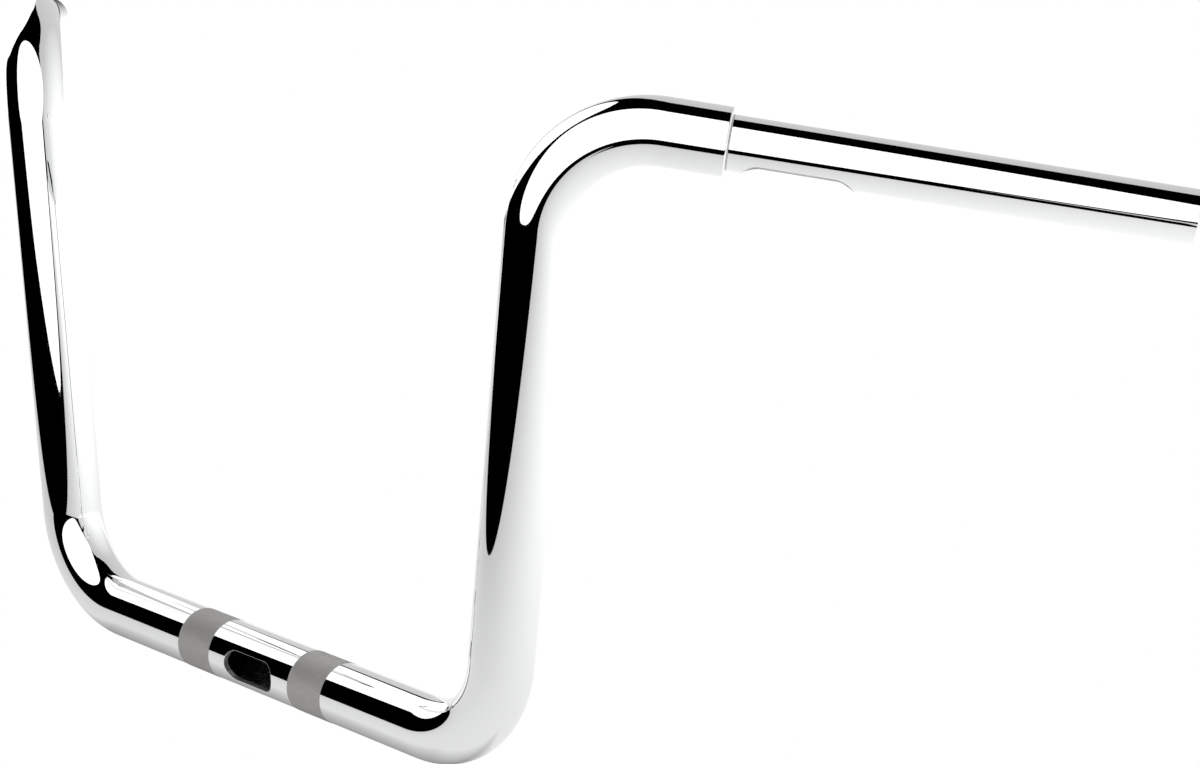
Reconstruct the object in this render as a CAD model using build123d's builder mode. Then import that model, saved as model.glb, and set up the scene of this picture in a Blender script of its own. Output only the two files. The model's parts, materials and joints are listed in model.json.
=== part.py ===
"""Motorcycle handlebar: a bent 1-1/4 inch tube with a 1 inch grip tube welded into each end.

Frame: origin in the middle of the clamping section, on the tube's axis, behind the wiring slot.
+X points to the rider's left, +Y rearwards to the rider, +Z up. Millimetres.
"""

import os
from math import cos, radians, sin

from build123d import *

# ---- driving dimensions ----
MAIN_OD = 31.75  # 1-1/4 inch tube
GRIP_OD = 25.4  # 1 inch tube
WALL = 3.048  # 0.120 inch wall on both tubes

CORNER_X = 166.5  # from the middle to where the centre section's and riser's axes meet
RISER_LENGTH = 315.0  # lower corner to upper corner, along the riser's axis
RISER_SPLAY = 5.5  # degrees that each riser leans outwards
BEND_RADIUS = 50.8  # centreline radius of all four bends, 2 inch
PULLBACK = 37.0  # degrees that each grip is swept rearwards from straight out
GRIP_DROP = 7.0  # degrees that each grip points down
SHOULDER = 82.0  # upper corner to the shoulder where the diameter steps down
GRIP_LENGTH = 206.0  # shoulder to the bar's end
INSERT_LENGTH = 25.4  # length of grip tube held inside the main tube's end

BAND_SPACING = 88.9  # between the middles of the two knurled clamp bands, 3-1/2 inch
BAND_WIDTH = 25.4
BAND_RISE = 0.2  # the rolled knurl's crests stand this far above the tube
BAND_CHAMFER = 0.15

CENTRE_SLOT_LENGTH, CENTRE_SLOT_WIDTH = 38.1, 15.9  # front wiring slot, over its round ends
GRIP_SLOT_LENGTH, GRIP_SLOT_WIDTH = 51.0, 17.5  # slot under each grip, over its round ends
GRIP_SLOT_START = 6.5  # from the shoulder to the slot's near end
GRIP_SLOT_ROLL = 13.0  # degrees that the slot faces forwards of straight down

SHOULDER_ROUND = 1.0  # rounding on the outside of the main tube's ends
WELD_DEPTH = 2.0  # how far the weld reaches into the main tube's mouth
WELD_PREP = 1.5  # how far the mouth is opened out for the weld
WELD_TOE = 0.7  # leg of the small fillet that shows outside the shoulder
WELD_BITE = 0.3  # how deep the weld fuses into the grip tube's wall
END_CHAMFER = 0.4  # broken edges at the open ends of the grips

# ---- worked out ----
MAIN_R = MAIN_OD / 2
MAIN_BORE_R = MAIN_R - WALL
BAND_R = MAIN_R + BAND_RISE
GRIP_R = GRIP_OD / 2
GRIP_BORE_R = GRIP_R - WALL


class Side:
    """Points, directions and planes on one side of the bar: sign +1 is the rider's left."""

    def __init__(self, sign):
        splay, pullback, drop = radians(RISER_SPLAY), radians(PULLBACK), radians(GRIP_DROP)
        up_riser = Vector(sign * sin(splay), 0, cos(splay))
        along_grip = Vector(sign * cos(drop) * cos(pullback), cos(drop) * sin(pullback), -sin(drop))
        self.lower_corner = Vector(sign * CORNER_X, 0, 0)
        self.upper_corner = self.lower_corner + up_riser * RISER_LENGTH
        self.shoulder = self.upper_corner + along_grip * SHOULDER

        # forwards is level and square to the grip; down is square to both
        forwards = along_grip.cross(Vector(0, 0, sign)).normalized()
        down = along_grip.cross(forwards).normalized() * sign
        roll = radians(GRIP_SLOT_ROLL)
        slot_middle = self.shoulder + along_grip * (GRIP_SLOT_START + GRIP_SLOT_LENGTH / 2)
        self.slot_plane = Plane(
            origin=slot_middle, x_dir=along_grip, z_dir=down * cos(roll) + forwards * sin(roll)
        )
        # square to the grip, with its normal out along it
        self.shoulder_plane = Plane(origin=self.shoulder, x_dir=forwards, z_dir=along_grip)
        # holds the grip's axis: local X is the radius and local Y runs out along the grip
        self.profile_plane = Plane(
            origin=self.shoulder, x_dir=forwards, z_dir=forwards.cross(along_grip)
        )


left, right = Side(1), Side(-1)

# ---- main tube, bent from one length, with its clamp bands and wiring slot ----
with BuildPart() as main_tube:
    with BuildLine() as centreline:
        FilletPolyline(
            left.shoulder,
            left.upper_corner,
            left.lower_corner,
            right.lower_corner,
            right.upper_corner,
            right.shoulder,
            radius=BEND_RADIUS,
        )
    with BuildSketch(left.shoulder_plane):
        Circle(MAIN_R)
        Circle(MAIN_BORE_R, mode=Mode.SUBTRACT)
    sweep(path=centreline.line)

    # knurled bands, one under each handlebar clamp
    for middle in (-BAND_SPACING / 2, BAND_SPACING / 2):
        with BuildSketch(Plane.YZ.offset(middle - BAND_WIDTH / 2)):
            Circle(BAND_R)
            Circle(MAIN_R - WALL / 2, mode=Mode.SUBTRACT)
        extrude(amount=BAND_WIDTH)
    band_ends = main_tube.edges().filter_by(GeomType.CIRCLE)
    chamfer(band_ends.filter_by(lambda edge: edge.radius > MAIN_R + BAND_RISE / 2), BAND_CHAMFER)

    # slot through the front wall, where the wires come out between the clamps
    with BuildSketch(Plane.XZ):
        SlotOverall(CENTRE_SLOT_LENGTH, CENTRE_SLOT_WIDTH)
    extrude(amount=MAIN_OD, mode=Mode.SUBTRACT)

    # ends: rounded outside, and opened out inside for the weld
    for end in (0, -1):
        end_face = main_tube.faces().filter_by(GeomType.PLANE).sort_by(Axis.X)[end]
        fillet(end_face.outer_wire().edges(), SHOULDER_ROUND)
        end_face = main_tube.faces().filter_by(GeomType.PLANE).sort_by(Axis.X)[end]
        chamfer(end_face.inner_wires()[0].edges(), WELD_PREP, WELD_DEPTH)

main_tube.part.label = "main_tube"
export = [main_tube.part]

for name, side in (("left", left), ("right", right)):
    # ---- grip tube: its inner end is held in the main tube, its outer end is open ----
    with BuildPart() as grip_tube:
        with BuildSketch(side.shoulder_plane.offset(-INSERT_LENGTH)):
            Circle(GRIP_R)
            Circle(GRIP_BORE_R, mode=Mode.SUBTRACT)
        extrude(amount=INSERT_LENGTH + GRIP_LENGTH)
        chamfer(grip_tube.edges(), END_CHAMFER)

        # slot in the lower wall, where the hand control's wires go in
        with BuildSketch(side.slot_plane):
            SlotOverall(GRIP_SLOT_LENGTH, GRIP_SLOT_WIDTH)
        extrude(amount=GRIP_OD, mode=Mode.SUBTRACT)

        # shallow ring where the weld has fused with the wall
        with BuildSketch(side.profile_plane):
            Polygon(
                (GRIP_R, -WELD_DEPTH),
                (GRIP_R - WELD_BITE, -WELD_DEPTH + WELD_BITE),
                (GRIP_R - WELD_BITE, WELD_TOE - WELD_BITE),
                (GRIP_R, WELD_TOE),
                align=None,
            )
        revolve(axis=Axis(side.shoulder, side.shoulder_plane.z_dir), mode=Mode.SUBTRACT)
    grip_tube.part.label = f"grip_tube_{name}"
    export.append(grip_tube.part)

    # ---- weld ring: fills the mouth around the grip tube, with a small polished fillet outside ----
    with BuildPart() as weld_ring:
        with BuildSketch(side.profile_plane):
            with BuildLine():
                toe = RadiusArc((GRIP_R + WELD_TOE, 0), (GRIP_R, WELD_TOE), WELD_TOE)
                Polyline(
                    toe @ 1,
                    (GRIP_R - WELD_BITE, WELD_TOE - WELD_BITE),
                    (GRIP_R - WELD_BITE, -WELD_DEPTH + WELD_BITE),
                    (GRIP_R, -WELD_DEPTH),
                    (MAIN_BORE_R, -WELD_DEPTH),
                    (MAIN_BORE_R + WELD_PREP, 0),
                    toe @ 0,
                )
            make_face()
        revolve(axis=Axis(side.shoulder, side.shoulder_plane.z_dir))
    weld_ring.part.label = f"weld_ring_{name}"
    export.append(weld_ring.part)

os.makedirs("parts", exist_ok=True)
for piece in export:
    export_step(piece, f"parts/{piece.label}.step")
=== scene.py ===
"""The chrome handlebar's finished look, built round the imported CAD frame.

Metres, in the CAD's own frame: the origin is in the middle of the clamping section, +X is the rider's left,
+Y points rearwards to the rider and +Z up.
"""

import json
import math

import bpy
import numpy as np
from mathutils import Matrix, Vector


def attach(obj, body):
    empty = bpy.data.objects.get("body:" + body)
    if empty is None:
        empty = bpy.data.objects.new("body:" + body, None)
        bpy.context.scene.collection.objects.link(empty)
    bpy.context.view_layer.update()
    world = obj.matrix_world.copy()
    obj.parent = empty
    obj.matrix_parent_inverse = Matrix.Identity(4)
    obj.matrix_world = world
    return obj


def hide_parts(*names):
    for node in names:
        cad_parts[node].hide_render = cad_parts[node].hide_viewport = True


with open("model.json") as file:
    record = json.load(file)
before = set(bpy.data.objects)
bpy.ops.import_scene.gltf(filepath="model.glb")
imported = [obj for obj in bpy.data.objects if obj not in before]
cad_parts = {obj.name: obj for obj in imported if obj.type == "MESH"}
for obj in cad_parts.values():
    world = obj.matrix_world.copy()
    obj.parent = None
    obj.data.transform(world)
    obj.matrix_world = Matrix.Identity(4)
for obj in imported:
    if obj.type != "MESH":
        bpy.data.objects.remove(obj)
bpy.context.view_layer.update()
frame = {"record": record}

# ---- sizes and directions that the frame holds ----
MOUNTS = {mount["name"]: mount for mount in frame["record"]["mounts"]}
BAND_RADIUS = MOUNTS["clamp_left"]["dims"]["r_mm"] / 1000
BAND_MIDDLE = MOUNTS["clamp_left"]["pos_m"][0]
GRIP_RADIUS = MOUNTS["grip_left"]["dims"]["r_mm"] / 1000
GRIP_BORE = MOUNTS["bar_end_left"]["dims"]["r_mm"] / 1000
GRIP_AXIS = np.array(MOUNTS["grip_left"]["axis"])
ON_GRIP_AXIS = np.array(MOUNTS["grip_left"]["pos_m"])
GRIP_SLOT_FACING = np.array(MOUNTS["control_slot_left"]["axis"])
GRIP_SLOT_MIDDLE = np.array(MOUNTS["control_slot_left"]["pos_m"]) - GRIP_SLOT_FACING * GRIP_RADIUS

# ---- the CAD's other driving dimensions ----
MAIN_RADIUS = 0.015875
MAIN_BORE = MAIN_RADIUS - (GRIP_RADIUS - GRIP_BORE)  # both tubes have the same wall
CORNER_X = 0.1665  # from the middle to where the centre section's and riser's axes meet
BEND_RADIUS = 0.0508
SHOULDER = 0.082  # upper corner to the shoulder, along the grip's axis
GRIP_LENGTH = 0.206  # shoulder to the bar's end
INSERT_LENGTH = 0.0254
BAND_WIDTH = 0.0254
SHOULDER_ROUND = 0.001
WELD_DEPTH = 0.002
WELD_PREP = 0.0015
WELD_TOE = 0.0007
WELD_BITE = 0.0003
END_ROUND = 0.0004  # broken edges at the grip tubes' ends
SLOT_ROUND = 0.00025  # broken edges round the slots
CENTRE_SLOT = (0.0381, 0.0159)  # length and width over the round ends
GRIP_SLOT = (0.051, 0.0175)

# ---- mesh detail ----
AROUND = 256  # columns of points round a tube
BEND_STEP = math.radians(1.5)
STRAIGHT_STEP = 0.012
RIM_STEPS = 6  # rows across a rounded edge
WINDOW_RINGS = 12  # rings between a slot's edge and the tube's own rows
WINDOW_ROWS = 48  # rows of the tube that a slot's window takes up
CENTRE_WINDOW = (0.026, 43)  # half length, and columns each side of the slot's middle
GRIP_WINDOW = (0.0295, 60)
KNURL_ROWS = 36
KNURL_VALLEY = 0.0158
KNURL_EDGE = 0.01592  # the band's first and last rows, where its ends are chamfered
NEARLY = 1e-6

LEFTWARDS = np.array([1.0, 0, 0])
FORWARDS = np.array([0, -1.0, 0])
MIRROR = np.array([-1, 1, 1])

# the risers stand in the plane y = 0, so that is where the grip's axis meets the riser's
UPPER_CORNER = ON_GRIP_AXIS - GRIP_AXIS * ON_GRIP_AXIS[1] / GRIP_AXIS[1]
LOWER_CORNER = LEFTWARDS * CORNER_X
RISER_AXIS = (UPPER_CORNER - LOWER_CORNER) / np.linalg.norm(UPPER_CORNER - LOWER_CORNER)
SHOULDER_POINT = UPPER_CORNER + GRIP_AXIS * SHOULDER


def unit(v):
    return v / np.linalg.norm(v)


def turned(v, axis, angle):
    """v turned about a unit axis."""
    along = axis * (v @ axis)
    return along + (v - along) * math.cos(angle) + np.cross(axis, v) * math.sin(angle)


class Place:
    """A point on a tube's axis, the axis direction there, and two directions square to it."""

    def __init__(self, centre, axis, front, up=None):
        self.centre, self.axis, self.front = centre, axis, front
        self.up = np.cross(front, axis) if up is None else up

    def moved(self, distance):
        return Place(self.centre + self.axis * distance, self.axis, self.front, self.up)

    def reversed(self):
        """The same point looking back along the axis."""
        return Place(self.centre, -self.axis, self.front, self.up)

    def mirrored(self):
        """The matching point on the rider's right, with its axis still leading towards the rider's left."""
        return Place(self.centre * MIRROR, -self.axis * MIRROR, self.front * MIRROR)

    def directions(self, angles):
        """Directions out from the axis, at these angles from the front towards up."""
        return np.outer(np.cos(angles), self.front) + np.outer(np.sin(angles), self.up)


def column_angles(columns):
    return np.asarray(columns) * 2 * math.pi / AROUND


def straight(place, length, count=None):
    """Evenly spaced places along a straight run, after the given one."""
    count = count or math.ceil(length / STRAIGHT_STEP)
    return [place.moved(length * (i + 1) / count) for i in range(count)]


def bend(place, new_axis):
    """Places round an arc of the bend radius, after the given one, until the axis points along new_axis."""
    hinge = unit(np.cross(place.axis, new_axis))
    turn = math.acos(place.axis @ new_axis)
    pivot = place.centre + np.cross(hinge, place.axis) * BEND_RADIUS
    count = math.ceil(turn / BEND_STEP)
    places = []
    for step in range(1, count + 1):
        angle = turn * step / count
        centre = pivot + turned(place.centre - pivot, hinge, angle)
        places.append(Place(centre, turned(place.axis, hinge, angle), turned(place.front, hinge, angle)))
    return places


def to_shoulder(start, stop_short):
    """Places from start, on the centre section, round both left bends to a little short of the shoulder."""
    places = [start]
    for corner, axis in ((LOWER_CORNER, RISER_AXIS), (UPPER_CORNER, GRIP_AXIS)):
        here = places[-1]
        tangent = BEND_RADIUS * math.tan(math.acos(here.axis @ axis) / 2)
        places += straight(here, (corner - here.centre) @ here.axis - tangent)
        places += bend(places[-1], axis)
    here = places[-1]
    return places + straight(here, (SHOULDER_POINT - here.centre) @ here.axis - stop_short)


class Skin:
    """A mesh in the making: points with their exact surface normals, and the faces between them."""

    def __init__(self):
        self.points, self.normals, self.faces, self.materials, self.flat = [], [], [], [], []
        self.count = 0

    def add(self, points, normals):
        """Adds points and returns their numbers."""
        self.points.append(points)
        self.normals.append(normals)
        self.count += len(points)
        return np.arange(self.count - len(points), self.count)

    def ring(self, place, radius, normal=(1, 0), along=0.0):
        """Adds a round row of points. The normal is given as its parts out from the axis and along it."""
        out = place.directions(column_angles(range(AROUND)))
        radii = np.broadcast_to(radius, AROUND)[:, None]
        points = place.centre + place.axis * along + out * radii
        return self.add(points, out * normal[0] + place.axis * normal[1])

    def face(self, corners, material, flat=False):
        self.faces.append([int(corner) for corner in corners])
        self.materials.append(material)
        self.flat.append(flat)

    def strip(self, a, b, material, flat=False):
        """Quads between two closed rows of points."""
        for i in range(len(a)):
            j = (i + 1) % len(a)
            self.face((a[i], a[j], b[j], b[i]), material, flat)

    def strips(self, rows, material, flat=False):
        for a, b in zip(rows, rows[1:]):
            self.strip(a, b, material, flat)

    def wall(self, places, radius, facing, material, slot=None):
        """The outer wall, where facing is 1, or the bore, where it is -1. Returns its points' numbers."""
        none = np.zeros((len(places), AROUND), bool)
        no_point, no_face = slot.hidden(places) if slot else (none, none)
        numbers = np.full((len(places), AROUND), -1)
        for row, place in enumerate(places):
            columns = np.flatnonzero(~no_point[row])
            out = place.directions(column_angles(columns))
            numbers[row, columns] = self.add(place.centre + out * radius, out * facing)
        beside = np.roll(numbers, -1, axis=1)
        for row, column in np.argwhere(~no_face[:-1]):
            start, end = numbers[row, column], beside[row, column]
            far_start, far_end = numbers[row + 1, column], beside[row + 1, column]
            self.face((start, end, far_end, far_start), material)
        return numbers

    def make(self, name, node, materials, side=1):
        """Turns every face outwards, makes the object, and puts it in its CAD node's place."""
        flip = np.array([side, 1, 1])
        points, normals = np.concatenate(self.points) * flip, np.concatenate(self.normals) * flip
        corners = [np.array([face[i] for face in self.faces]) for i in (0, 1, 2, -1)]
        a, b, c, d = (points[numbers] for numbers in corners)
        out = np.cross(c - a, d - b)
        out /= np.linalg.norm(out, axis=1)[:, None]
        wrong = (out * sum(normals[numbers] for numbers in corners)).sum(axis=1) < 0
        out[wrong] *= -1
        faces, corner_normals = [], []
        for face, face_out, turn, flat in zip(self.faces, out, wrong, self.flat):
            face = face[::-1] if turn else face
            faces.append(face)
            corner_normals.extend([face_out] * len(face) if flat else normals[face])
        mesh = bpy.data.meshes.new(name)
        mesh.from_pydata(points.tolist(), [], faces)
        mesh.polygons.foreach_set("material_index", self.materials)
        mesh.polygons.foreach_set("use_smooth", [not flat for flat in self.flat])
        mesh.normals_split_custom_set(corner_normals)
        for material in materials:
            mesh.materials.append(material)
        piece = bpy.data.objects.new(name, mesh)
        bpy.context.scene.collection.objects.link(piece)
        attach(piece, "root")
        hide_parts(node)


class Slot:
    """A round-ended slot in a tube's wall, inside a window: a patch of the wall remade to fit round it."""

    def __init__(self, middle, size, window, radius):
        self.middle = middle  # on the tube's axis, with its front towards the slot
        self.length, self.width = size
        self.half_length, self.columns = window
        self.radius = radius  # the tube's outside

    def along(self, place):
        return (place.centre - self.middle.centre) @ self.middle.axis

    def window(self, places):
        """The numbers of the first and last place in the window."""
        inside = [i for i, place in enumerate(places) if abs(self.along(place)) < self.half_length + NEARLY]
        return inside[0], inside[-1]

    def hidden(self, places):
        """Whether each point, and each face that starts there, is left to the window."""
        first, last = self.window(places)
        row, column = np.arange(len(places))[:, None], np.arange(AROUND)
        ahead = column < self.columns
        point = (row > first) & (row < last) & (ahead | (column > AROUND - self.columns))
        face = (row >= first) & (row < last) & (ahead | (column >= AROUND - self.columns))
        return point, face

    def window_edge(self, places):
        """Row and column of each point round the window's edge, from the middle of its far end."""
        first, last = self.window(places)
        side = self.columns
        edge = [(last, column) for column in range(side)]
        edge += [(row, side) for row in range(last, first, -1)]
        edge += [(first, column) for column in range(side, -side, -1)]
        edge += [(row, -side) for row in range(first, last)]
        edge += [(last, column) for column in range(-side, 0)]
        return np.array(edge)

    def outline(self, shares):
        """Points round the slot, as distances along and across it, and the directions out of it there."""
        radius, run = self.width / 2, self.length - self.width
        arc = math.pi * radius
        to_side, to_start, from_start, to_end, whole = np.cumsum([arc / 2, run, arc, run, arc / 2])
        points, outward = [], []
        for distance in shares * whole:
            if distance < to_side:
                middle, angle = run / 2, distance / radius
            elif distance < to_start:
                middle, angle = run / 2 - (distance - to_side), math.pi / 2
            elif distance < from_start:
                middle, angle = -run / 2, math.pi / 2 + (distance - to_start) / radius
            elif distance < to_end:
                middle, angle = -run / 2 + (distance - from_start), math.pi * 1.5
            else:
                middle, angle = run / 2, math.pi * 1.5 + (distance - to_end) / radius
            direction = np.array([math.cos(angle), math.sin(angle)])
            points.append(direction * radius + [middle, 0])
            outward.append(direction)
        return np.array(points), np.array(outward)

    def on_wall(self, along, angle, radius):
        """Points on the tube's wall, and the directions to them from its axis."""
        out = self.middle.directions(angle)
        return self.middle.centre + np.outer(along, self.middle.axis) + out * radius, out

    def fill_window(self, skin, places, numbers, radius, facing, wall_material, cut_material):
        """Fills the window, rounds the slot's edge, and returns the row of points where the cut starts."""
        edge = self.window_edge(places)
        edge_along = np.array([self.along(places[row]) for row in edge[:, 0]])
        edge_angle = column_angles(edge[:, 1])
        run_along = np.diff(edge_along, append=edge_along[0])
        run_round = np.diff(edge_angle, append=edge_angle[0]) * self.radius
        runs = np.hypot(run_along, run_round)
        outline, outward = self.outline((np.cumsum(runs) - runs) / runs.sum())

        start = outline + outward * SLOT_ROUND
        start_angle = np.arcsin(start[:, 1] / radius)
        rows = [numbers[edge[:, 0], edge[:, 1]]]
        for ring in range(WINDOW_RINGS - 1, -1, -1):
            share = ring / WINDOW_RINGS
            along = start[:, 0] + (edge_along - start[:, 0]) * share
            angle = start_angle + (edge_angle - start_angle) * share
            points, out = self.on_wall(along, angle, radius)
            rows.append(skin.add(points, out * facing))
        skin.strips(rows, wall_material)

        # the rounded edge curves from the wall, past the sharp corner, into the cut
        corner, corner_out = self.on_wall(outline[:, 0], np.arcsin(outline[:, 1] / radius), radius)
        inwards = -(np.outer(outward[:, 0], self.middle.axis) + np.outer(outward[:, 1], self.middle.up))
        before, after = points, corner - self.middle.front * SLOT_ROUND * facing
        rows = rows[-1:]
        for t in np.arange(1, RIM_STEPS + 1) / RIM_STEPS:
            row = before * (1 - t) ** 2 + corner * 2 * t * (1 - t) + after * t**2
            into_cut = (corner - before) * (1 - t) + (after - corner) * t
            round_slot = np.roll(row, -1, axis=0) - np.roll(row, 1, axis=0)
            normals = np.cross(into_cut, round_slot)
            normals /= np.linalg.norm(normals, axis=1)[:, None]
            about = corner_out * facing * (1 - t) + inwards * t
            normals *= np.sign((normals * about).sum(axis=1))[:, None]
            rows.append(skin.add(row, normals))
        skin.strips(rows, cut_material)
        return rows[-1]


def rounded_edge(skin, end, radius, facing, size):
    """Rows round the edge from a wall to its end face, after the wall's own. The end's axis points out."""
    rows = []
    for step in range(1, RIM_STEPS + 1):
        angle = math.pi / 2 * step / RIM_STEPS
        inset = size * (1 - math.cos(angle))
        normal = (facing * math.cos(angle), math.sin(angle))
        rows.append(skin.ring(end, radius - facing * inset, normal, size * (math.sin(angle) - 1)))
    return rows


# ---- materials ----
NOISE_LOW, NOISE_HIGH = 0.3, 0.7  # most of a noise texture's values lie between these
ROUGHNESS_DETAIL = 4
BUMP_DETAIL = 2


def metal(name, colour, roughness, roughness_scale, bump_scale, bump_height):
    """Metal whose roughness drifts between two values, with a faint unevenness in its surface."""
    material = bpy.data.materials.new(name)
    material.use_nodes = True
    nodes, links = material.node_tree.nodes, material.node_tree.links
    shader = nodes["Principled BSDF"]
    shader.inputs["Base Color"].default_value = (*colour, 1)
    shader.inputs["Metallic"].default_value = 1
    place = nodes.new("ShaderNodeTexCoord")
    drift = nodes.new("ShaderNodeTexNoise")
    drift.inputs["Scale"].default_value = roughness_scale
    drift.inputs["Detail"].default_value = ROUGHNESS_DETAIL
    spread = nodes.new("ShaderNodeMapRange")
    spread.inputs["From Min"].default_value = NOISE_LOW
    spread.inputs["From Max"].default_value = NOISE_HIGH
    spread.inputs["To Min"].default_value = roughness[0]
    spread.inputs["To Max"].default_value = roughness[1]
    links.new(place.outputs["Object"], drift.inputs["Vector"])
    links.new(drift.outputs["Fac"], spread.inputs["Value"])
    links.new(spread.outputs["Result"], shader.inputs["Roughness"])
    ripple = nodes.new("ShaderNodeTexNoise")
    ripple.inputs["Scale"].default_value = bump_scale
    ripple.inputs["Detail"].default_value = BUMP_DETAIL
    bump = nodes.new("ShaderNodeBump")
    bump.inputs["Distance"].default_value = bump_height
    links.new(place.outputs["Object"], ripple.inputs["Vector"])
    links.new(ripple.outputs["Fac"], bump.inputs["Height"])
    links.new(bump.outputs["Normal"], shader.inputs["Normal"])
    return material


# colour, roughness from and to, how fine the roughness and the bumps are, and the bumps' height
chrome = metal("chrome", (0.87, 0.875, 0.88), (0.01, 0.03), 60, 45, 0.000004)
knurl_chrome = metal("knurled_chrome", (0.43, 0.42, 0.41), (0.45, 0.6), 900, 1500, 0.00001)
weld_chrome = metal("weld_chrome", (0.45, 0.45, 0.45), (0.05, 0.12), 300, 350, 0.00003)
cut_metal = metal("cut_metal", (0.72, 0.72, 0.72), (0.35, 0.45), 400, 700, 0.00002)
bare_bore = metal("bare_bore", (0.62, 0.61, 0.6), (0.2, 0.3), 250, 700, 0.00025)


# ---- the main tube ----
def knurled_band(skin, start, row_before, row_after, material):
    """A band of small pyramids, joined to the smooth tube at both ends."""
    rows = []
    for row in range(KNURL_ROWS + 1):
        high = (np.arange(AROUND) + row) % 2 == 0
        at_end = row in (0, KNURL_ROWS)
        radius = KNURL_EDGE if at_end else np.where(high, BAND_RADIUS, KNURL_VALLEY)
        rows.append(skin.ring(start, radius, along=BAND_WIDTH * row / KNURL_ROWS))
    skin.strip(row_before, rows[0], material, flat=True)
    skin.strip(rows[-1], row_after, material, flat=True)
    for row in range(KNURL_ROWS):
        a, b = rows[row], rows[row + 1]
        for i in range(AROUND):
            j = (i + 1) % AROUND
            if (i + row) % 2 == 0:
                skin.face((a[i], a[j], b[i]), material, flat=True)
                skin.face((a[j], b[j], b[i]), material, flat=True)
            else:
                skin.face((a[i], a[j], b[j]), material, flat=True)
                skin.face((a[i], b[j], b[i]), material, flat=True)


def make_main_tube():
    plated, knurled, bare, welded, cut = range(5)
    skin = Skin()
    middle = Place(np.zeros(3), LEFTWARDS, FORWARDS)
    slot = Slot(middle, CENTRE_SLOT, CENTRE_WINDOW, MAIN_RADIUS)
    band_near, band_far = BAND_MIDDLE - BAND_WIDTH / 2, BAND_MIDDLE + BAND_WIDTH / 2

    window = slot.half_length
    between = [middle.moved(-band_near), middle.moved(-window)]
    between += straight(between[-1], 2 * window, WINDOW_ROWS)
    between += [middle.moved(band_near)]
    left = to_shoulder(middle.moved(band_far), SHOULDER_ROUND)
    right = [place.mirrored() for place in reversed(left)]
    between_rows = skin.wall(between, MAIN_RADIUS, 1, plated, slot)
    left_rows = skin.wall(left, MAIN_RADIUS, 1, plated)
    right_rows = skin.wall(right, MAIN_RADIUS, 1, plated)
    knurled_band(skin, middle.moved(-band_far), right_rows[-1], between_rows[0], knurled)
    knurled_band(skin, middle.moved(band_near), between_rows[-1], left_rows[0], knurled)

    left_bore = to_shoulder(middle.moved(band_near), WELD_DEPTH)
    right_bore = [place.mirrored() for place in reversed(left_bore)]
    bore = right_bore + between[1:-1] + left_bore
    bore_rows = skin.wall(bore, MAIN_BORE, -1, bare, slot)

    cut_outer = slot.fill_window(skin, between, between_rows, MAIN_RADIUS, 1, plated, plated)
    cut_inner = slot.fill_window(skin, bore, bore_rows, MAIN_BORE, -1, bare, plated)
    skin.strip(cut_outer, cut_inner, cut)

    left_end = left[-1].moved(SHOULDER_ROUND)
    right_end = left_end.mirrored().reversed()
    for end, wall_row, bore_row in (
        (left_end, left_rows[-1], bore_rows[-1]),
        (right_end, right_rows[0], bore_rows[0]),
    ):
        rows = [wall_row] + rounded_edge(skin, end, MAIN_RADIUS, 1, SHOULDER_ROUND)
        skin.strips(rows, plated)
        lip = skin.ring(end, MAIN_BORE + WELD_PREP, (0, 1))
        skin.strip(rows[-1], lip, welded, flat=True)
        skin.strip(lip, bore_row, bare, flat=True)
    materials = (chrome, knurl_chrome, bare_bore, weld_chrome, cut_metal)
    skin.make("bent_tube", "main_tube", materials)


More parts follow.
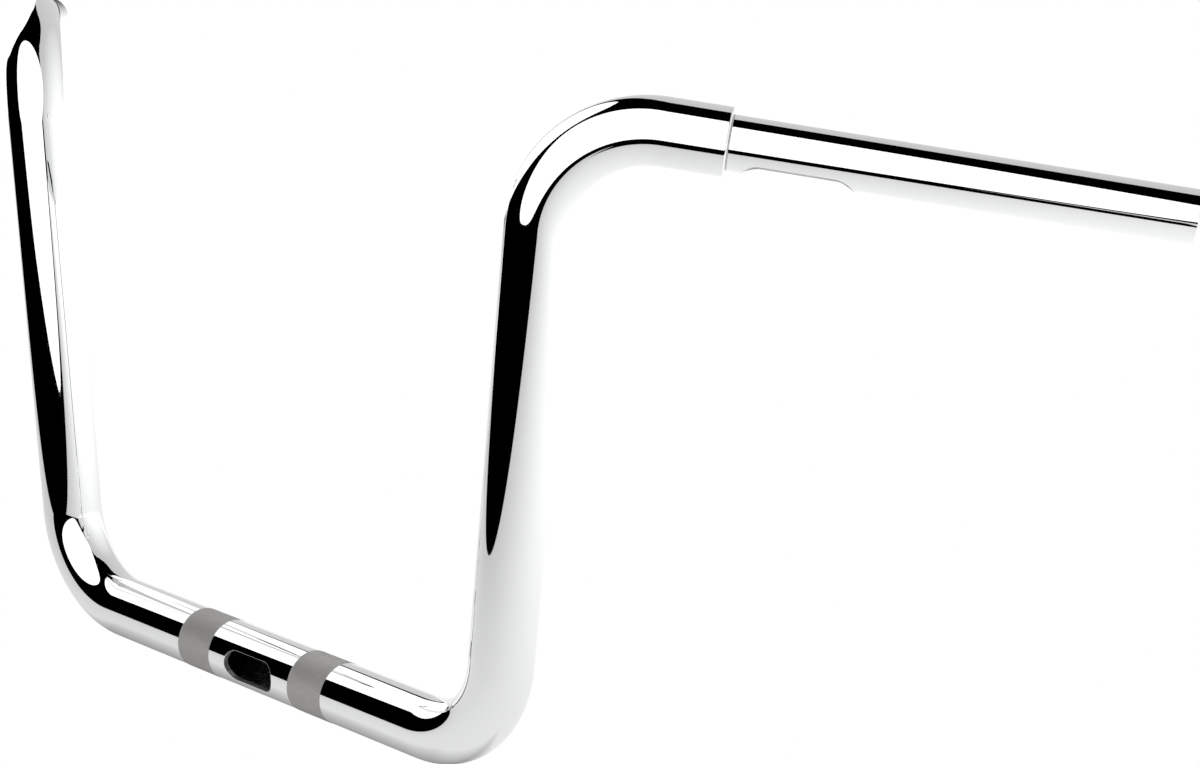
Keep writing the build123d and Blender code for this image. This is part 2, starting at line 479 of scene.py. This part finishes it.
# ---- the grip tubes and the welds that hold them ----
def make_grip_tubes():
    plated, bare, cut = range(3)
    skin = Skin()
    shoulder = Place(SHOULDER_POINT, GRIP_AXIS, GRIP_SLOT_FACING)
    middle = Place(GRIP_SLOT_MIDDLE, GRIP_AXIS, GRIP_SLOT_FACING)
    slot = Slot(middle, GRIP_SLOT, GRIP_WINDOW, GRIP_RADIUS)
    outer_end = shoulder.moved(GRIP_LENGTH)
    inner_end = shoulder.moved(-INSERT_LENGTH).reversed()

    window_start, window_end = middle.moved(-slot.half_length), middle.moved(slot.half_length)
    window = [window_start] + straight(window_start, 2 * slot.half_length, WINDOW_ROWS)
    beyond = straight(window_end, (outer_end.centre - window_end.centre) @ GRIP_AXIS - END_ROUND)
    insert_start = shoulder.moved(END_ROUND - INSERT_LENGTH)
    insert = [insert_start] + straight(insert_start, INSERT_LENGTH - END_ROUND - WELD_DEPTH)
    insert_rows = skin.wall(insert, GRIP_RADIUS, 1, plated)
    outer = [shoulder.moved(WELD_TOE)] + window + beyond
    outer_rows = skin.wall(outer, GRIP_RADIUS, 1, plated, slot)
    groove_start = skin.ring(shoulder, GRIP_RADIUS - WELD_BITE, along=WELD_BITE - WELD_DEPTH)
    groove_end = skin.ring(shoulder, GRIP_RADIUS - WELD_BITE, along=WELD_TOE - WELD_BITE)
    skin.strips([insert_rows[-1], groove_start, groove_end, outer_rows[0]], plated, flat=True)

    bore = insert + window + beyond
    bore_rows = skin.wall(bore, GRIP_BORE, -1, bare, slot)
    cut_outer = slot.fill_window(skin, outer, outer_rows, GRIP_RADIUS, 1, plated, cut)
    cut_inner = slot.fill_window(skin, bore, bore_rows, GRIP_BORE, -1, bare, cut)
    skin.strip(cut_outer, cut_inner, cut)

    for end, wall_row, bore_row in (
        (outer_end, outer_rows[-1], bore_rows[-1]),
        (inner_end, insert_rows[0], bore_rows[0]),
    ):
        outer_edge = [wall_row] + rounded_edge(skin, end, GRIP_RADIUS, 1, END_ROUND)
        inner_edge = [bore_row] + rounded_edge(skin, end, GRIP_BORE, -1, END_ROUND)
        skin.strips(outer_edge, plated)
        skin.strips(inner_edge, plated)
        skin.strip(outer_edge[-1], inner_edge[-1], plated, flat=True)
    materials = (chrome, bare_bore, cut_metal)
    for side, name in ((1, "left"), (-1, "right")):
        skin.make(f"slotted_grip_{name}", f"grip_tube_{name}", materials, side)


def make_weld_beads():
    skin = Skin()
    shoulder = Place(SHOULDER_POINT, GRIP_AXIS, GRIP_SLOT_FACING)
    bitten = GRIP_RADIUS - WELD_BITE
    mouth = skin.ring(shoulder, MAIN_BORE + WELD_PREP, (1, 1))
    toe = []
    for step in range(RIM_STEPS + 1):
        angle = math.pi / 2 * step / RIM_STEPS
        radius = GRIP_RADIUS + WELD_TOE * (1 - math.sin(angle))
        normal = (math.sin(angle), math.cos(angle))
        toe.append(skin.ring(shoulder, radius, normal, WELD_TOE * (1 - math.cos(angle))))
    skin.strip(mouth, toe[0], 0, flat=True)
    skin.strips(toe, 0)
    inside = [
        toe[-1],
        skin.ring(shoulder, bitten, (-1, 0), WELD_TOE - WELD_BITE),
        skin.ring(shoulder, bitten, (-1, 0), WELD_BITE - WELD_DEPTH),
        skin.ring(shoulder, GRIP_RADIUS, (-1, -1), -WELD_DEPTH),
        skin.ring(shoulder, MAIN_BORE, (0, -1), -WELD_DEPTH),
        mouth,
    ]
    skin.strips(inside, 0, flat=True)
    for side, name in ((1, "left"), (-1, "right")):
        skin.make(f"weld_bead_{name}", f"weld_ring_{name}", (weld_chrome,), side)


make_main_tube()
make_grip_tubes()
make_weld_beads()


# ---- camera, fitted to the photograph ----
CAMERA_AT = (1.06958, -0.8769, 0.51595)
CAMERA_LOOK = Vector((-0.66794, 0.69942, -0.25429)).normalized()
CAMERA_RIGHT = Vector((0.71964, 0.69409, 0.01881)).normalized()
CAMERA_LENS = 84.35

camera_data = bpy.data.cameras.new("camera")
camera_data.lens = CAMERA_LENS
camera_data.sensor_width = 36
camera = bpy.data.objects.new("camera", camera_data)
turn = Matrix((CAMERA_RIGHT, CAMERA_RIGHT.cross(CAMERA_LOOK), -CAMERA_LOOK)).transposed()
camera.matrix_world = Matrix.Translation(CAMERA_AT) @ turn.to_4x4()
bpy.context.scene.collection.objects.link(camera)
bpy.context.scene.camera = camera
bpy.context.scene.view_settings.view_transform = "Standard"


# ---- studio ----
UPWARDS = (0, 0, 1)
CORNER_PASSES = 4  # how often a panel's corners are cut to round them
SOFTBOX_LEVEL = 1.35


def glow(name, *ramps):
    """Light as strong as the product of ramps: (direction, start, end, level at start, level at end)."""
    material = bpy.data.materials.new(name)
    material.use_nodes = True
    nodes, links = material.node_tree.nodes, material.node_tree.links
    nodes.clear()
    place = nodes.new("ShaderNodeNewGeometry")
    light = nodes.new("ShaderNodeEmission")
    output = nodes.new("ShaderNodeOutputMaterial")
    links.new(light.outputs["Emission"], output.inputs["Surface"])
    strength = None
    for direction, start, end, start_level, end_level in ramps:
        along = nodes.new("ShaderNodeVectorMath")
        along.operation = "DOT_PRODUCT"
        along.inputs[1].default_value = direction
        level = nodes.new("ShaderNodeMapRange")
        level.inputs["From Min"].default_value = start
        level.inputs["From Max"].default_value = end
        level.inputs["To Min"].default_value = start_level
        level.inputs["To Max"].default_value = end_level
        links.new(place.outputs["Position"], along.inputs[0])
        links.new(along.outputs["Value"], level.inputs["Value"])
        if strength:
            product = nodes.new("ShaderNodeMath")
            product.operation = "MULTIPLY"
            links.new(strength, product.inputs[0])
            links.new(level.outputs["Result"], product.inputs[1])
            strength = product.outputs["Value"]
        else:
            strength = level.outputs["Result"]
    links.new(strength, light.inputs["Strength"])
    return material


def panel(name, points, material):
    """A flat stage panel with these corners, which only reflections show."""
    mesh = bpy.data.meshes.new(name)
    mesh.from_pydata([tuple(p) for p in points], [], [range(len(points))])
    mesh.materials.append(material)
    obj = bpy.data.objects.new(name, mesh)
    bpy.context.scene.collection.objects.link(obj)
    obj.visible_camera = False
    return obj


def rounded(corners):
    """A closed outline with its corners cut until they are round."""
    points = np.array(corners, float)
    for _ in range(CORNER_PASSES):
        after = np.roll(points, -1, axis=0)
        cuts = np.stack((points * 0.75 + after * 0.25, points * 0.25 + after * 0.75), axis=1)
        points = cuts.reshape(-1, 2)
    return points


def direction(azimuth, elevation):
    """The direction this many degrees round from the front towards the rider's left, and above the floor."""
    az, el = math.radians(azimuth), math.radians(elevation)
    return np.array([math.sin(az) * math.cos(el), -math.cos(az) * math.cos(el), math.sin(el)])


def softbox(name, azimuth, elevation, distance, tilt, rise, outline):
    """A white panel about a middle point, turned from square on by tilt and rise, its outline in metres."""
    towards = direction(azimuth, elevation)
    across, upwards = direction(azimuth + 90, 0), direction(azimuth, elevation + 90)
    facing = across * math.tan(math.radians(tilt)) + upwards * math.tan(math.radians(rise)) - towards
    facing = unit(facing)
    across = unit(across - facing * (across @ facing))
    upwards = np.cross(across, facing)
    outline = rounded(outline)
    points = towards * distance + np.outer(outline[:, 0], across) + np.outer(outline[:, 1], upwards)
    panel(name, points, white)


white = glow("white_light", (UPWARDS, 0, 1, SOFTBOX_LEVEL, SOFTBOX_LEVEL))
FRONT_OUTLINE = [
    (-0.97, -0.9), (0, -0.77), (1.0, -0.62), (1.07, -0.1), (1.0, 0.45), (0.75, 0.84), (0.3, 0.95),
    (-0.2, 0.95), (-0.65, 0.82), (-0.9, 0.55), (-0.975, 0.1),
]
softbox("softbox_front", 11.0, 36.5, 0.982, -13.4, -1.1, FRONT_OUTLINE)
SIDE_OUTLINE = [
    (1.33, 0.1), (1.33, 0.6), (1.08, 1.0), (0.75, 1.25), (0.35, 1.25), (0, 1.02), (-0.35, 0.62),
    (-0.35, -1.1), (0.1, -1.05), (0.65, -0.75), (1.2, -0.2),
]
softbox("softbox_right", -112.1, 32.2, 1.6245, -7.3, 4.8, SIDE_OUTLINE)

# a far, curved wall goes round the back of the set: azimuth and elevation along its top edge, in degrees
WALL_TOP = [
    (71, -6), (73, 2), (78, 15), (85, 35), (89, 53), (96, 64), (115, 69), (150, 69), (180, 65), (200, 62),
    (210, 60), (220, 55), (227, 46), (232, 30), (236, 10), (238, -6),
]
WALL_BOTTOM = -7
WALL_STEP = 1.0
WALL_DISTANCE = 13
# it dims with height and towards both its ends
WALL_RAMPS = ((UPWARDS, 2.0, 11.5, 1.1, 0.95), (direction(140, 0), 6, 11.5, 0.65, 1.15))
wall_top = np.array(WALL_TOP, float)
wall_azimuths = np.arange(wall_top[0, 0], wall_top[-1, 0] + WALL_STEP / 2, WALL_STEP)
wall_tops = np.interp(wall_azimuths, wall_top[:, 0], wall_top[:, 1])
wall_points = [direction(azimuth, WALL_BOTTOM) * WALL_DISTANCE for azimuth in wall_azimuths]
wall_points += [direction(azimuth, top) * WALL_DISTANCE for azimuth, top in zip(wall_azimuths, wall_tops)]
count = len(wall_azimuths)
wall_faces = [(i, i + 1, count + i + 1, count + i) for i in range(count - 1)]
wall_mesh = bpy.data.meshes.new("backdrop_wall")
wall_mesh.from_pydata([tuple(point) for point in wall_points], [], wall_faces)
wall_mesh.materials.append(glow("wall_light", *WALL_RAMPS))
wall = bpy.data.objects.new("backdrop_wall", wall_mesh)
bpy.context.scene.collection.objects.link(wall)
wall.visible_camera = False

# the floor that the chrome reflects: it stops at an edge in front, and turns black towards the front right
FLOOR_Z = -0.0162  # just under the clamp bands
FLOOR_REACH = 15
EDGE_TURN = math.radians(-19.7)
EDGE_OUT = np.array([math.sin(EDGE_TURN), -math.cos(EDGE_TURN), 0])
EDGE_ALONG = np.array([math.cos(EDGE_TURN), math.sin(EDGE_TURN), 0])
EDGE = 0.296  # from the origin out to the edge
SIDE_OUT = direction(-57.6, 0)
FLOOR_RAMPS = ((EDGE_OUT, EDGE, -0.66, 0.64, 1.3), (SIDE_OUT, 0.85, 1.5, 1, 0))
front_middle = EDGE_OUT * EDGE + np.array([0, 0, FLOOR_Z])
floor_corners = [front_middle + EDGE_ALONG * FLOOR_REACH, front_middle - EDGE_ALONG * FLOOR_REACH]
floor_corners += [floor_corners[1] - EDGE_OUT * FLOOR_REACH, floor_corners[0] - EDGE_OUT * FLOOR_REACH]
panel("floor_reflection", floor_corners, glow("floor_light", *FLOOR_RAMPS))

# a painted contact shadow: the reflected floor's light is dimmed where the centre section rests on it, less
# and less towards the bends
SHADE_REACH = 0.028  # from the line of contact to the shade's edge
SHADE_STRAIGHT, SHADE_TIP = 0.13, 0.19  # where the shade starts to narrow, and where it ends
SHADE_LEVEL = 0.2
SHADE_LIFT = 0.00005


def shade(name, points, ramp):
    """A triangle or rectangle of painted shadow on the reflected floor, given by its corners in x and y and
    its own ramp.
    """
    corners = [(x, y, FLOOR_Z + SHADE_LIFT) for x, y in points]
    panel(name, corners, glow(name, *FLOOR_RAMPS, (*ramp, SHADE_LEVEL, 1)))


# the painted shadow's panels, in front of and behind the line of contact, with tapering ends
for y, front_or_back in ((-SHADE_REACH, "front"), (SHADE_REACH, "back")):
    middle = [(-SHADE_STRAIGHT, 0), (SHADE_STRAIGHT, 0), (SHADE_STRAIGHT, y), (-SHADE_STRAIGHT, y)]
    shade(f"shade_{front_or_back}", middle, ((0, 1 / y, 0), 0, 1))
    for sign, side in ((1, "left"), (-1, "right")):
        x = SHADE_STRAIGHT * sign
        tip = SHADE_TIP - SHADE_STRAIGHT
        start = SHADE_STRAIGHT / tip
        end = [(x, 0), (SHADE_TIP * sign, 0), (x, y)]
        shade(f"shade_{front_or_back}_{side}", end, ((sign / tip, 1 / y, 0), start, start + 1))

# a black flag below and in front of the left grip draws the thin dark line along it
FLAG_BELOW = 0.073
FLAG = [(-0.06, 0.113), (-0.06, 0.2), (0.22, 0.25), (0.22, 0.15)]  # along the grip and in front of it
GRIP_FRONT = unit(np.cross(GRIP_AXIS, UPWARDS))
flag_origin = SHOULDER_POINT - np.array([0, 0, FLAG_BELOW])
flag = [flag_origin + GRIP_AXIS * along + GRIP_FRONT * in_front for along, in_front in FLAG]
panel("flag", flag, glow("black_flag", (UPWARDS, 0, 1, 0, 0)))

# the floor that the camera sees gives its own light: white under the part and behind it, with a painted
# light falloff that dims it softly on the camera's side
SEEN_FLOOR_DROP = 0.0002
SEEN_FLOOR_RADIUS = 30
SEEN_FLOOR_STEP = 5
NEAR_SIDE = direction(44, 0)
SEEN_FLOOR_RAMPS = ((NEAR_SIDE, 0.3, 1.8, 1, 0.8), (NEAR_SIDE, 2.2, 8, 1, 1.25))
under_floor = np.array([0, 0, FLOOR_Z - SEEN_FLOOR_DROP])
rim = [direction(azimuth, 0) * SEEN_FLOOR_RADIUS + under_floor for azimuth in range(0, 360, SEEN_FLOOR_STEP)]
seen_floor = panel("floor", rim, glow("pale_floor", *SEEN_FLOOR_RAMPS))
seen_floor.visible_camera = True
seen_floor.visible_glossy = False

# the camera sees a white room, and the chrome sees a black one round the panels
world = bpy.data.worlds.new("studio")
world.use_nodes = True
bpy.context.scene.world = world
nodes, links = world.node_tree.nodes, world.node_tree.links
ray = nodes.new("ShaderNodeLightPath")
links.new(ray.outputs["Is Camera Ray"], nodes["Background"].inputs["Strength"])
nodes["Background"].inputs["Color"].default_value = (1, 1, 1, 1)
